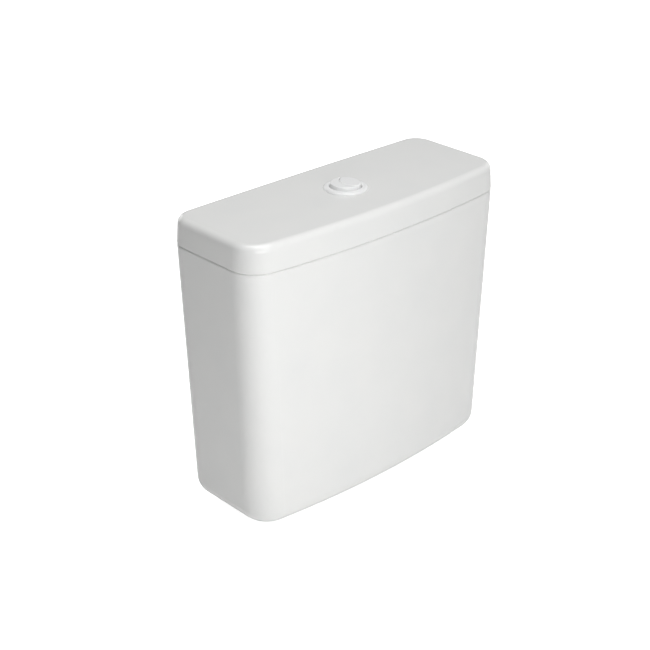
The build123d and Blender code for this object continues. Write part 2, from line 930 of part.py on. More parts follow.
def make_half_carrier():
    """Carrier disc at the foot of the half-flush rod."""
    top = half_seal_top + half_carrier_height
    inner = half_rod_radius + push_fit
    return ring(half_carrier_radius, inner, half_seal_top, top, half_lift_x)


def make_fill_body():
    """Inlet shank, flange and the double-walled riser of the fill valve."""
    relief = shank_radius - shank_relief
    body = disc(shank_radius, -shank_depth, shank_exposed_top, inlet_x)
    body += disc(relief, shank_exposed_top, fill_flange_top, inlet_x)
    body += disc(fill_flange_radius, flange_low, fill_flange_top, inlet_x)
    shell_inner = fill_shell_radius - fill_shell_wall
    body += ring(fill_shell_radius, shell_inner, fill_flange_top, fill_body_top, inlet_x)
    body += disc(fill_pipe_radius, fill_flange_top, fill_body_top, inlet_x)
    body -= disc(shank_bore_radius, -shank_depth, fill_body_top, inlet_x)
    body -= disc(
        filter_flange_radius + filter_counterbore_gap,
        -shank_depth,
        filter_flange - shank_depth,
        inlet_x,
    )
    for turn in range(4):
        slot = block(
            (fill_pipe_radius + shell_inner) / 2,
            fill_shell_radius + over,
            -fill_slot_width / 2,
            fill_slot_width / 2,
            fill_slot_low,
            fill_slot_low + fill_slot_height,
        )
        body -= Pos(inlet_x, 0, 0) * Rot(0, 0, 90 * turn) * slot
    return body


def make_filter():
    """Slotted strainer in the foot of the shank."""
    low = -shank_depth
    basket = disc(filter_flange_radius, low, low + filter_flange)
    basket += disc(filter_radius, low, low + filter_length)
    basket -= disc(filter_radius - filter_wall, low, low + filter_length - filter_wall)
    slot_low = low + 2 * filter_flange
    for turn in range(filter_slots):
        slot = block(
            0,
            filter_radius + over,
            -filter_slot_width / 2,
            filter_slot_width / 2,
            slot_low,
            slot_low + filter_slot_height,
        )
        basket -= Rot(0, 0, 360 * turn / filter_slots) * slot
    return Pos(inlet_x, 0, 0) * basket


def make_head():
    """Valve head on the riser, with ears for the arm and the refill spout."""
    body = disc(head_radius, head_low, head_top, inlet_x)
    body = fillet(body.edges().group_by(Axis.Z)[-1], head_round)
    ear_low = head_top - head_round
    for low_y, high_y in ((ear_inner_y, ear_inner_y + ear_width), (-ear_inner_y - ear_width, -ear_inner_y)):
        ear = block(
            inlet_x - ear_half_length,
            inlet_x + ear_half_length,
            low_y,
            high_y,
            ear_low,
            head_top + ear_height,
        )
        body += fillet(ear.edges().filter_by(Axis.Y).group_by(Axis.Z)[-1], ear_half_length / 2)
    spout = block(
        inlet_x - spout_half_width,
        inlet_x + spout_half_width,
        spout_y - spout_half_width,
        head_round - head_radius,
        spout_low,
        spout_low + spout_height,
    )
    body += fillet(spout.edges().filter_by(Axis.Z).group_by(Axis.Y)[0], spout_half_width / 2)
    spout_top = spout_low + spout_height
    barb = refill_bore_radius - push_fit
    body += disc(barb, spout_top, spout_top + barb_height, inlet_x, spout_y)
    body -= disc(fill_shell_radius + push_fit, head_low, fill_body_top, inlet_x)
    chamber_top = fill_body_top + head_chamber_height
    body -= disc(head_chamber_radius, fill_body_top, chamber_top, inlet_x)
    spout_middle = spout_low + spout_height / 2
    body -= disc(barb_bore_radius, spout_middle, spout_top + barb_height + over, inlet_x, spout_y)
    body -= pin_y(barb_bore_radius, inlet_x, spout_middle, spout_y, 0)
    reach = ear_inner_y + ear_width + over
    body -= pin_y(arm_pin_radius + lever_pin_fit, inlet_x, arm_pin_z, -reach, reach)
    plunger_x = inlet_x - plunger_offset
    return body - disc(plunger_radius + plunger_run, chamber_top - over, head_top + over, plunger_x)


def make_arm():
    """Float arm: hub on the pin, tail over the plunger and a fork round the level rod."""
    half = arm_thickness / 2
    arm = block(
        inlet_x - arm_tail,
        inlet_x + arm_fork_start,
        -arm_half_width,
        arm_half_width,
        arm_pin_z - half,
        arm_pin_z + half,
    )
    arm += pin_y(arm_hub_radius, inlet_x, arm_pin_z, -arm_half_width, arm_half_width)
    arm -= block(
        inlet_x - arm_tail,
        inlet_x - arm_hub_radius,
        -arm_half_width,
        arm_half_width,
        arm_pin_z - arm_hub_radius,
        arm_pin_z - half,
    )
    fork = block(
        inlet_x + arm_fork_start - over,
        inlet_x + arm_fork_start + over,
        -tine_outer_y,
        tine_outer_y,
        arm_pin_z - tine_thickness / 2,
        arm_pin_z + tine_thickness / 2,
    )
    arm += fork
    for low_y, high_y in ((tine_inner_y, tine_outer_y), (-tine_outer_y, -tine_inner_y)):
        arm += block(
            inlet_x + arm_fork_start,
            level_x,
            low_y,
            high_y,
            arm_pin_z - tine_thickness / 2,
            arm_pin_z + tine_thickness / 2,
        )
        arm += pin_y(tine_boss_radius, level_x, arm_pin_z, low_y, high_y)
    reach = arm_half_width + over
    return arm - pin_y(arm_pin_radius + lever_run, inlet_x, arm_pin_z, -reach, reach)


def make_plunger():
    """Shut-off plunger under the tail of the arm."""
    top = arm_pin_z - arm_thickness / 2 - plunger_gap
    low = fill_body_top + head_chamber_height - plunger_depth
    return disc(plunger_radius, low, top, inlet_x - plunger_offset)


def make_fill_float():
    """Inverted cup float round the riser, with a lug for the level rod."""
    top = fill_float_z + fill_float_height
    bore = fill_shell_radius + fill_float_bore_gap
    cup = disc(fill_float_radius, fill_float_z, top, inlet_x)
    cup = fillet(cup.edges().group_by(Axis.Z)[-1], fill_float_wall)
    lug = block(
        inlet_x + fill_float_radius - lug_overlap,
        level_x + lug_beyond,
        -lug_half_width,
        lug_half_width,
        top - lug_height,
        top,
    )
    cup += fillet(lug.edges().filter_by(Axis.Z).group_by(Axis.X)[-1], lug_half_width / 2)
    space = ring(
        fill_float_radius - fill_float_wall,
        bore + fill_float_wall,
        fill_float_z,
        top - fill_float_wall,
        inlet_x,
    )
    cup -= space
    cup -= disc(bore, fill_float_z - over, top + over, inlet_x)
    return cup - disc(level_rod_radius + level_rod_run, top - lug_height - over, top + over, level_x)


def make_level_rod():
    """Adjusting rod with two collars round the arm's fork and a slotted knob."""
    knob_low = arm_pin_z + level_knob_rise
    rod = disc(level_rod_radius, level_rod_low, knob_low + level_knob_height, level_x)
    offset = tine_boss_radius + level_collar_gap
    upper = arm_pin_z + offset
    lower = arm_pin_z - offset
    rod += disc(level_collar_radius, upper, upper + level_collar_height, level_x)
    rod += disc(level_collar_radius, lower - level_collar_height, lower, level_x)
    knob_top = knob_low + level_knob_height
    rod += disc(level_knob_radius, knob_low, knob_top, level_x)
    rod -= block(
        level_x - level_knob_radius - over,
        level_x + level_knob_radius + over,
        -level_knob_notch / 2,
        level_knob_notch / 2,
        knob_top - level_knob_notch,
        knob_top + over,
    )
    return rod


def make_refill_tube():
    """Formed tube from the spout over to the overflow mouth."""
    start = Vector(inlet_x, spout_y, spout_low + spout_height)
    end = Vector(0, refill_mouth_y, refill_tip_z)
    way = Vector(-inlet_x, refill_mouth_y - spout_y, 0).normalized()
    up = Vector(0, 0, 1)
    bend_z = refill_run_z - refill_bend
    rise_top = Vector(start.X, start.Y, bend_z)
    run_start = rise_top + (way + up) * refill_bend
    fall_top = Vector(end.X, end.Y, bend_z)
    run_end = fall_top + (up - way) * refill_bend
    path = Wire(
        [
            Edge.make_line(start, rise_top),
            Edge.make_tangent_arc(rise_top, up, run_start),
            Edge.make_line(run_start, run_end),
            Edge.make_tangent_arc(run_end, way, fall_top),
            Edge.make_line(fall_top, end),
        ]
    )
    section = Plane(origin=start, z_dir=up) * (Circle(refill_radius) - Circle(refill_bore_radius))
    return sweep(section, path)


def make_refill_clip():
    """Post on the bracket with an open ring that holds the refill tube."""
    bore = refill_radius + push_fit
    outer = bore + clip_ring_wall
    ring_top = clip_ring_low + clip_ring_height
    clip = disc(outer, clip_ring_low, ring_top, 0, refill_mouth_y)
    clip += block(
        -clip_post_half_width,
        clip_post_half_width,
        clip_post_y,
        refill_mouth_y - bore,
        clip_ring_low,
        ring_top,
    )
    clip += block(
        -clip_post_half_width,
        clip_post_half_width,
        clip_post_y - clip_post_half_depth,
        clip_post_y + clip_post_half_depth,
        bracket_top,
        ring_top,
    )
    clip += block(
        -clip_foot_half,
        clip_foot_half,
        clip_post_y - clip_post_half_depth,
        clip_post_y + clip_post_half_depth,
        bracket_top,
        bracket_top + clip_foot_height,
    )
    clip -= disc(bore, clip_ring_low - over, ring_top + over, 0, refill_mouth_y)
    return clip - block(
        -clip_opening / 2,
        clip_opening / 2,
        refill_mouth_y,
        refill_mouth_y + outer + over,
        clip_ring_low - over,
        ring_top + over,
    )


def make_bolt(x):
    """Slotted coupling bolt, head inside the tank."""
    head_low_z = flange_low + steel_washer_height
    head_top_z = head_low_z + bolt_head_height
    bolt = disc(bolt_radius, bolt_tip_z, hex_low, x)
    bolt += disc(bolt_radius - bolt_relief, hex_low, head_low_z, x)
    bolt += disc(bolt_head_radius, head_low_z, head_top_z, x)
    return bolt - block(
        x - bolt_head_radius - over,
        x + bolt_head_radius + over,
        -bolt_slot_width / 2,
        bolt_slot_width / 2,
        head_top_z - bolt_slot_depth,
        head_top_z + over,
    )


def at_both_bolts(make):
    """The same piece at each coupling bolt."""
    return make(-bolt_x) + make(bolt_x)


def washer(radius, low, height):
    """Function that makes a washer of a given size at a bolt."""
    return lambda x: ring(radius, bolt_radius + bolt_washer_gap, low, low + height, x)


parts = {
    "tank": make_tank(),
    "lid": make_lid(),
    "button_bezel": make_bezel(),
    "bezel_washer": ring(bezel_nut_radius, button_hole_radius, bezel_washer_low, lid_under),
    "bezel_nut": make_bezel_nut(),
    "full_flush_button": make_button("full", full_stem_x, full_button_round),
    "half_flush_button": make_button("half", half_stem_x, half_button_round),
    "full_button_spring": make_spring("full_button_spring", full_stem_x),
    "half_button_spring": make_spring("half_button_spring", half_stem_x),
    "full_push_rod": make_push_rod(full_stem_x),
    "half_push_rod": make_push_rod(half_stem_x),
    "full_rod_lock_nut": make_rod_nut(full_stem_x),
    "half_rod_lock_nut": make_rod_nut(half_stem_x),
    "full_flush_lever": make_lever(full_pivot_x, 1),
    "half_flush_lever": make_lever(half_pivot_x, -1),
    "lever_pins": make_lever_pin(full_pivot_x) + make_lever_pin(half_pivot_x),
    "lever_bracket": make_bracket(),
    "valve_housing": make_housing(),
    "valve_base": make_valve_base(),
    "half_flush_duct": make_duct(),
    "tank_washer": ring(base_flange_radius, tail_radius + washer_bore_gap, floor_z, flange_low),
    "valve_lock_nut": make_lock_nut(),
    "outlet_gasket": make_gasket(),
    "overflow_tube": ring(overflow_radius, overflow_bore_radius, seal_top, overflow_top),
    "lift_hook": make_hook(),
    "seal_carrier": make_seal_carrier(),
    "flush_seal": ring(seal_radius, overflow_bore_radius, seat_z, seal_top),
    "full_flush_float": make_full_float(),
    "full_float_clips": make_float_clips(),
    "half_lift_rod": make_half_rod(),
    "half_seal_carrier": make_half_carrier(),
    "half_flush_seal": disc(half_seal_radius, half_seat_z, half_seal_top, half_lift_x),
    "half_flush_float": make_half_float(),
    "half_float_clips": make_half_clips(),
    "fill_valve_body": make_fill_body(),
    "inlet_filter": make_filter(),
    "inlet_washer": ring(
        fill_flange_radius,
        shank_radius + washer_bore_gap,
        floor_z,
        flange_low,
        inlet_x,
    ),
    "inlet_lock_nut": hexagon(
        inlet_nut_radius,
        shank_radius + thread_gap,
        floor_underside - inlet_nut_height,
        floor_underside,
        inlet_x,
    ),
    "fill_valve_head": make_head(),
    "diaphragm": disc(
        head_chamber_radius - diaphragm_gap,
        fill_body_top,
        fill_body_top + diaphragm_height,
        inlet_x,
    ),
    "arm_pin": pin_y(
        arm_pin_radius,
        inlet_x,
        arm_pin_z,
        -ear_inner_y - ear_width - over,
        ear_inner_y + ear_width + over,
    ),
    "fill_arm": make_arm(),
    "shut_off_plunger": make_plunger(),
    "fill_float": make_fill_float(),
    "level_rod": make_level_rod(),
    "refill_tube": make_refill_tube(),
    "refill_clip": make_refill_clip(),
    "coupling_bolts": at_both_bolts(make_bolt),
    "bolt_rubber_washers": at_both_bolts(washer(bolt_washer_radius, floor_z, washer_height)),
    "bolt_steel_washers": at_both_bolts(washer(steel_washer_radius, flange_low, steel_washer_height)),
    "under_steel_washers": at_both_bolts(
        washer(steel_washer_radius, under_washer_low, steel_washer_height)
    ),
    "bolt_hex_nuts": at_both_bolts(
        lambda x: hexagon(bolt_head_radius, bolt_radius + thread_gap, hex_low, under_washer_low, x)
    ),
}

for name, shape in parts.items():
    export_step(shape, f"parts/{name}.step")
    print(name, len(shape.solids()), round(shape.volume))
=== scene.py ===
"""Looks of the toilet cistern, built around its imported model.

Laid out as an add-on, but run as a script: main() registers it and presses every button in order.
Lengths are metres, Z up, front towards -Y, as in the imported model.
"""

import json
import math

import bmesh
import bpy
from bpy.props import FloatProperty, FloatVectorProperty, PointerProperty
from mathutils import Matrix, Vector

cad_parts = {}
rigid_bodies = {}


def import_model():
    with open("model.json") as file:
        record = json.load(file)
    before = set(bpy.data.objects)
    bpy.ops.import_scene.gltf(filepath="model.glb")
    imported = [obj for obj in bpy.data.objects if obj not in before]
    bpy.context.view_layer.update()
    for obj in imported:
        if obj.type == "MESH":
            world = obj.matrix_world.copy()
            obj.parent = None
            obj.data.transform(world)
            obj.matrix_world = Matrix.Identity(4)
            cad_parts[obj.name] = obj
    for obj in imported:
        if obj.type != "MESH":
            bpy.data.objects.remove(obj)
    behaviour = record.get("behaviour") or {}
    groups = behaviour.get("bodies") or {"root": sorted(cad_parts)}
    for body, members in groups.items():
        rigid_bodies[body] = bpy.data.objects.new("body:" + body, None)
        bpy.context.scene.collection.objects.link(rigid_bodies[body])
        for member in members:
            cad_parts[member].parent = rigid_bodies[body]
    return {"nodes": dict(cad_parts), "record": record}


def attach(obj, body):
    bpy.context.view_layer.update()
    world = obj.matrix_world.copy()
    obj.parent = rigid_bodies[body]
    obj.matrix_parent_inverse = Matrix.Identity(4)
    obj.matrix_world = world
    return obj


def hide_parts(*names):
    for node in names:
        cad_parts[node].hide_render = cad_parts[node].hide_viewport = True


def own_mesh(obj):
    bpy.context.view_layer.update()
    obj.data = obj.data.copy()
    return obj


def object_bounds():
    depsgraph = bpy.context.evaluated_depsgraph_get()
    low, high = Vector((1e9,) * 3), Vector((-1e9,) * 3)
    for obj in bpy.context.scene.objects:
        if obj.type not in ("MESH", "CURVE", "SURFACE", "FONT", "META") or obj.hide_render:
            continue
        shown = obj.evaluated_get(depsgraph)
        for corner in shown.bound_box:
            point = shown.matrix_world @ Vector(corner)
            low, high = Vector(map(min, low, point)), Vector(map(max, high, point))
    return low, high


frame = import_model()
cad_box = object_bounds()

bl_info = {
    "name": "Toilet cistern",
    "version": (1, 0, 0),
    "blender": (4, 5, 0),
    "location": "View3D > Sidebar > Cistern",
    "description": "Dresses the packed toilet cistern and sets its studio",
    "category": "Object",
}

MM = 0.001
NODES = frame["nodes"]
SLOTS = {part["node"]: part["material_slot"] for part in frame["record"]["subparts"]}
MADE = {}

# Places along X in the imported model, in mm
BOLTS_X = (-75.0, 75.0)
FILL_VALVE_X = -122.0
LEVEL_ROD_X = -91.0
HALF_VALVE_X = -55.0
FLUSH_VALVE_X = 0.0
PUSH_RODS_X = (("full", 6.0), ("half", -11.0))

# Corners that lie closer than this are one corner, and a cut is exact to a tenth of a micron
WELD = 0.002 * MM
CUT = 0.0001 * MM

# Folds in degrees: an edge under FLAT is no edge, and one over SHARP gets a radius
FLAT = 0.6
SHARP = 35.0

# Photograph's width in pixels and the camera's film in mm
IMAGE_WIDTH = 650
FILM_WIDTH = 36.0


# ------------------------------------------------------------------- materials


def linear(code):
    """sRGB hex code to a linear colour with alpha."""
    parts = [int(code[i : i + 2], 16) / 255 for i in (1, 3, 5)]
    return [p / 12.92 if p <= 0.04045 else ((p + 0.055) / 1.055) ** 2.4 for p in parts] + [1.0]


def add(tree, kind, inputs=None, **settings):
    """Add a node with its settings, socket values and links."""
    node = tree.nodes.new(kind)
    for key, value in settings.items():
        setattr(node, key, value)
    for key, value in (inputs or {}).items():
        if isinstance(value, bpy.types.NodeSocket):
            tree.links.new(value, node.inputs[key])
        else:
            node.inputs[key].default_value = value
    return node


def material(name, recipe, **values):
    """Material whose shader comes from a recipe, made once."""
    if name not in MADE:
        made = bpy.data.materials.new(name)
        made.use_nodes = True
        tree = made.node_tree
        tree.nodes.clear()
        place = add(tree, "ShaderNodeTexCoord").outputs["Object"]
        shader = recipe(tree, place, **values)
        add(tree, "ShaderNodeOutputMaterial", {"Surface": shader.outputs[0]})
        MADE[name] = made
    return MADE[name]


def noise(tree, place, grain_mm, detail=2.0):
    """Noise with grains of a real size."""
    inputs = {"Vector": place, "Scale": 1 / (grain_mm * MM), "Detail": detail}
    return add(tree, "ShaderNodeTexNoise", inputs).outputs["Fac"]


def bump(tree, height, depth_mm, normal=None):
    """Relief of a real depth."""
    inputs = {"Height": height, "Distance": depth_mm * MM, "Strength": 1.0}
    if normal:
        inputs["Normal"] = normal
    return add(tree, "ShaderNodeBump", inputs).outputs["Normal"]


def ramp(tree, value, low, high, from_low, from_high):
    """Value eased from one range to another."""
    inputs = {"Value": value, "From Min": from_low, "From Max": from_high, "To Min": low, "To Max": high}
    return add(tree, "ShaderNodeMapRange", inputs).outputs["Result"]


def blend(tree, share, first, second):
    """Two colours mixed by a share."""
    node = add(tree, "ShaderNodeMix", {"Factor": share}, data_type="RGBA")
    for socket, colour in zip((node.inputs[6], node.inputs[7]), (first, second)):
        if isinstance(colour, bpy.types.NodeSocket):
            tree.links.new(colour, socket)
        else:
            socket.default_value = colour
    return node.outputs[2]


def china(tree, place, colour, biscuit):
    """Vitreous china: poured and glazed, so the gloss swims a little; the foot it was fired on is bare."""
    slow = noise(tree, place, grain_mm=45, detail=1.0)
    fine = noise(tree, place, grain_mm=4)
    relief = bump(tree, slow, depth_mm=0.05, normal=bump(tree, fine, depth_mm=0.002))
    height = add(tree, "ShaderNodeSeparateXYZ", {"Vector": place}).outputs["Z"]
    wander = {0: noise(tree, place, grain_mm=2.5), 1: 1.2 * MM}
    ragged = add(tree, "ShaderNodeMath", wander, operation="MULTIPLY")
    level = add(tree, "ShaderNodeMath", {0: height, 1: ragged.outputs[0]}, operation="SUBTRACT")
    bare = ramp(tree, level.outputs[0], low=1.0, high=0.0, from_low=0.0, from_high=0.4 * MM)
    glaze = blend(tree, slow, colour, linear("#EFF0EF"))
    skin = blend(tree, bare, glaze, linear(biscuit))
    rough = ramp(tree, bare, low=0.09, high=0.8, from_low=0.0, from_high=1.0)
    return add(
        tree,
        "ShaderNodeBsdfPrincipled",
        {"Base Color": skin, "Roughness": rough, "IOR": 1.52, "Normal": relief},
    )


def plastic(tree, place, colour, shade, roughness, grain_mm, depth_mm):
    """Injection moulding: even colour with a faint flow mottle and the tool's fine grain."""
    mottle = noise(tree, place, grain_mm=9, detail=3.0)
    grain = noise(tree, place, grain_mm)
    rough = ramp(tree, mottle, low=roughness * 0.85, high=roughness * 1.15, from_low=0.3, from_high=0.7)
    inputs = {
        "Base Color": blend(tree, mottle, colour, linear(shade)),
        "Roughness": rough,
        "IOR": 1.5,
        "Normal": bump(tree, grain, depth_mm),
    }
    return add(tree, "ShaderNodeBsdfPrincipled", inputs)


def rubber(tree, place, colour, shade):
    """Pressed rubber: nearly black, dull, with a dusty bloom and a felt-like grain."""
    bloom = noise(tree, place, grain_mm=5, detail=4.0)
    dusty = ramp(tree, bloom, low=0.0, high=1.0, from_low=0.35, from_high=0.75)
    inputs = {
        "Base Color": blend(tree, dusty, colour, linear(shade)),
        "Roughness": ramp(tree, bloom, low=0.6, high=0.85, from_low=0.3, from_high=0.7),
        "IOR": 1.5,
        "Normal": bump(tree, noise(tree, place, grain_mm=0.5), depth_mm=0.03),
    }
    return add(tree, "ShaderNodeBsdfPrincipled", inputs)


def metal(tree, place, colour, shade, roughness, stretch):
    """Turned or drawn metal: fine lines round the piece and patches of duller skin."""
    lines = add(tree, "ShaderNodeMapping", {"Vector": place, "Scale": stretch}).outputs[0]
    turning = noise(tree, lines, grain_mm=0.25)
    skin = noise(tree, place, grain_mm=4, detail=3.0)
    inputs = {
        "Base Color": blend(tree, skin, colour, linear(shade)),
        "Metallic": 1.0,
        "Roughness": ramp(
            tree, skin, low=roughness * 0.75, high=roughness * 1.3, from_low=0.3, from_high=0.7
        ),
        "Normal": bump(tree, turning, depth_mm=0.01),
    }
    return add(tree, "ShaderNodeBsdfPrincipled", inputs)


FINISHES = {
    # White glaze over fired clay: bright, glassy and faintly wavy.
    "glazed_china": ("Vitreous china, glazed white", china, {"biscuit": "#D9D3C8"}),
    # Polished ABS: whiter and a little softer in its gloss than the china.
    "white_button_plastic": (
        "ABS, gloss moulded white",
        plastic,
        {"shade": "#F7F8F8", "roughness": 0.14, "grain_mm": 1.5, "depth_mm": 0.003},
    ),
    # Unpainted polypropylene: milky white and satin.
    "white_moulding": (
        "Polypropylene, moulded white",
        plastic,
        {"shade": "#E1E3E2", "roughness": 0.38, "grain_mm": 0.7, "depth_mm": 0.012},
    ),
    # Acetal with grey masterbatch: smooth, slightly waxy.
    "grey_moulding": (
        "Acetal, moulded grey",
        plastic,
        {"shade": "#969B9E", "roughness": 0.34, "grain_mm": 0.7, "depth_mm": 0.012},
    ),
    # Acetal with blue masterbatch, the usual mark of an adjustable part.
    "blue_moulding": (
        "Acetal, moulded blue",
        plastic,
        {"shade": "#28619A", "roughness": 0.34, "grain_mm": 0.7, "depth_mm": 0.012},
    ),
    # Carbon-filled EPDM: soft black with a grey bloom.
    "black_rubber": ("EPDM rubber, moulded black", rubber, {"shade": "#262727"}),
    # Cold-drawn stainless: cool grey, fine lines along the stock.
    "steel": (
        "Stainless steel, drawn",
        metal,
        {"shade": "#AEB1B3", "roughness": 0.28, "stretch": (1.0, 1.0, 8.0)},
    ),
    # Bar brass off the lathe: warm yellow with turning marks.
    "brass": (
        "Brass, turned",
        metal,
        {"shade": "#C9AE74", "roughness": 0.27, "stretch": (1.0, 1.0, 8.0)},
    ),
}


def finish(slot):
    """Material of one slot of the record, in the colour that the scene's colour settings give it."""
    name, recipe, values = FINISHES[slot]
    colour = list(getattr(bpy.context.scene.cistern_colours, slot))
    return material(name, recipe, colour=colour, **values)


# --------------------------------------------------------------- shaping tools


def body_of(node):
    """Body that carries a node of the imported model."""
    return NODES[node].parent.name.split(":")[-1]


def show(shape, name, body, slot, replaced=(), smooth=40.0):
    """Turn a bmesh into a piece that rides on a body, smooth but for its sharp edges."""
    bmesh.ops.remove_doubles(shape, verts=shape.verts, dist=WELD)
    bmesh.ops.recalc_face_normals(shape, faces=shape.faces)
    limit = math.radians(smooth)
    for face in shape.faces:
        face.smooth = True
    for edge in shape.edges:
        edge.smooth = len(edge.link_faces) == 2 and edge.calc_face_angle(0.0) < limit
    mesh = bpy.data.meshes.new(name)
    shape.to_mesh(mesh)
    shape.free()
    piece = bpy.data.objects.new(name, mesh)
    bpy.context.scene.collection.objects.link(piece)
    mesh.materials.append(finish(slot))
    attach(piece, body)
    if replaced:
        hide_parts(*replaced)
    return piece


def sharp_edges(shape):
    """Edges that fold by more than SHARP."""
    limit = math.radians(SHARP)
    inner = [edge for edge in shape.edges if len(edge.link_faces) == 2]
    return [edge for edge in inner if edge.calc_face_angle(0.0) > limit]


def node_shape(node):
    """Copy of a CAD node's mesh with its loose triangles joined."""
    shape = bmesh.new()
    shape.from_mesh(NODES[node].data)
    bmesh.ops.remove_doubles(shape, verts=shape.verts, dist=WELD)
    return shape


def soften(shape, width_mm, segments=2):
    """Small radius that a mould or a die leaves on the edges."""
    limit = math.radians(FLAT)
    bmesh.ops.dissolve_limit(shape, angle_limit=limit, verts=shape.verts, edges=shape.edges)
    bmesh.ops.bevel(
        shape,
        geom=sharp_edges(shape),
        offset=width_mm * MM,
        offset_type="OFFSET",
        affect="EDGES",
        segments=segments,
        profile=0.5,
        material=-1,
        clamp_overlap=True,
        loop_slide=True,
    )


def softened(node, width_mm, segments=2, more=None):
    """Piece in a node's place, with its edges softened and whatever else is added to it."""
    shape = node_shape(node)
    soften(shape, width_mm, segments)
    if more:
        more(shape)
    show(shape, f"{node}_soft", body_of(node), SLOTS[node], (node,))


def join(shape, other, x):
    """Set one bmesh x mm along X and move it into another."""
    bmesh.ops.translate(other, verts=other.verts, vec=(x * MM, 0, 0))
    mesh = bpy.data.meshes.new("joined")
    other.to_mesh(mesh)
    other.free()
    shape.from_mesh(mesh)
    bpy.data.meshes.remove(mesh)


def cut(shape, level_mm, below):
    """Cut off all that is below a level, or above it."""
    bmesh.ops.bisect_plane(
        shape,
        geom=[*shape.verts, *shape.edges, *shape.faces],
        dist=CUT,
        plane_co=(0, 0, level_mm * MM),
        plane_no=(0, 0, 1),
        clear_inner=below,
        clear_outer=not below,
    )


def close(shape, level_mm):
    """Fill the open edges that lie at a level."""
    level, near = level_mm * MM, 0.01 * MM
    rims = [edge for edge in shape.edges if edge.is_boundary]
    cuts = [edge for edge in rims if all(abs(vert.co.z - level) < near for vert in edge.verts)]
    bmesh.ops.triangle_fill(shape, use_beauty=True, edges=cuts)


def trimmed(node, level_mm, below):
    """Copy of a node's mesh, cut off below a level, or above it, and closed."""
    shape = node_shape(node)
    cut(shape, level_mm, below)
    close(shape, level_mm)
    return shape


def outline(shape, points):
    """Chain of edges through (radius, height) points in mm."""
    verts = [shape.verts.new((radius * MM, 0, height * MM)) for radius, height in points]
    return verts, [shape.edges.new(pair) for pair in zip(verts, verts[1:])]


def turned(shape, x, points, width_mm, steps=64):
    """Add a ring turned round an upright axis, from the corners of its section, and soften it."""
    part = bmesh.new()
    verts, edges = outline(part, points)
    edges.append(part.edges.new((verts[-1], verts[0])))
    bmesh.ops.spin(
        part,
        geom=verts + edges,
        cent=(0, 0, 0),
        axis=(0, 0, 1),
        angle=2 * math.pi,
        steps=steps,
        use_merge=True,
    )
    bmesh.ops.recalc_face_normals(part, faces=part.faces)
    soften(part, width_mm)
    join(shape, part, x)


def threaded(shape, x, low, high, radius, depth, pitch, bore=0.0, steps=48):
    """Add a stud, or a tube if it has a bore, with a right-hand thread and flat ends."""
    part = bmesh.new()
    points = []
    root = radius - depth
    spare = 2
    seam = 0.001 * MM
    for turn in range(math.ceil((high - low) / pitch) + 2 * spare):
        foot = low + (turn - spare) * pitch
        points += [
            (root, foot),
            (root, foot + pitch * 4 / 16),
            (radius, foot + pitch * 9 / 16),
            (radius, foot + pitch * 11 / 16),
        ]
    verts, edges = outline(part, points)
    bmesh.ops.spin(
        part,
        geom=verts + edges,
        cent=(0, 0, 0),
        axis=(0, 0, 1),
        dvec=(0, 0, pitch * MM / steps),
        angle=2 * math.pi,
        steps=steps,
    )
    bmesh.ops.remove_doubles(part, verts=part.verts, dist=seam)
    cut(part, low, below=True)
    cut(part, high, below=False)
    if bore:
        loops = []
        for level in (low, high):
            ring = bmesh.ops.create_circle(part, segments=steps, radius=bore * MM)["verts"]
            bmesh.ops.translate(part, verts=ring, vec=(0, 0, level * MM))
            loops += {edge for vert in ring for edge in vert.link_edges}
        bmesh.ops.bridge_loops(part, edges=loops)
    close(part, low)
    close(part, high)
    join(shape, part, x)


def hex_nut(shape, x, low, high, corner, bore, steps=48):
    """Add a hexagon nut with its corners turned off at both ends and its bore eased."""
    sixth = math.pi / 3
    chamfer = math.tan(math.pi / 6)
    flat = corner * math.cos(sixth / 2)
    crown = flat * 0.97
    ease = bore * 0.08
    part = bmesh.new()
    levels = (
        (bore + ease, low, 0),
        (crown, low, 0),
        (0, low, 1),
        (0, high, -1),
        (crown, high, 0),
        (bore + ease, high, 0),
        (bore, high - ease, 0),
        (bore, low + ease, 0),
    )
    loops = []
    for radius, level, side in levels:
        ring = bmesh.ops.create_circle(part, segments=steps, radius=MM)["verts"]
        loops.append({edge for vert in ring for edge in vert.link_edges})
        for vert in ring:
            turn = math.atan2(vert.co.y, vert.co.x)
            away = radius if radius else flat / math.cos(turn % sixth - sixth / 2)
            rise = side * (away - crown) * chamfer
            vert.co = (away * math.cos(turn) * MM, away * math.sin(turn) * MM, (level + rise) * MM)
    for first, second in zip(loops, loops[1:] + loops[:1]):
        bmesh.ops.bridge_loops(part, edges=[*first, *second])
    join(shape, part, x)


def ribs(shape, x, radius, low, high, count, width, height):
    """Add upright ribs all round a wall."""
    part = bmesh.new()
    bmesh.ops.create_cube(part, size=1)
    bmesh.ops.scale(part, verts=part.verts, vec=(2 * height * MM, width * MM, (high - low) * MM))
    bmesh.ops.translate(part, verts=part.verts, vec=(radius * MM, 0, (low + high) / 2 * MM))
    soften(part, 0.3 * min(width, height))
    bmesh.ops.spin(
        part,
        geom=[*part.verts, *part.edges, *part.faces],
        cent=(0, 0, 0),
        axis=(0, 0, 1),
        angle=2 * math.pi * (count - 1) / count,
        steps=count - 1,
        use_duplicate=True,
    )
    join(shape, part, x)


def bead(radius, height, out, width):
    """Section of a low bead round a wall."""
    return (
        (radius - out, height - width / 2),
        (radius + out, height - width / 4),
        (radius + out, height + width / 4),
        (radius - out, height + width / 2),
    )


# ------------------------------------------------------------------ properties


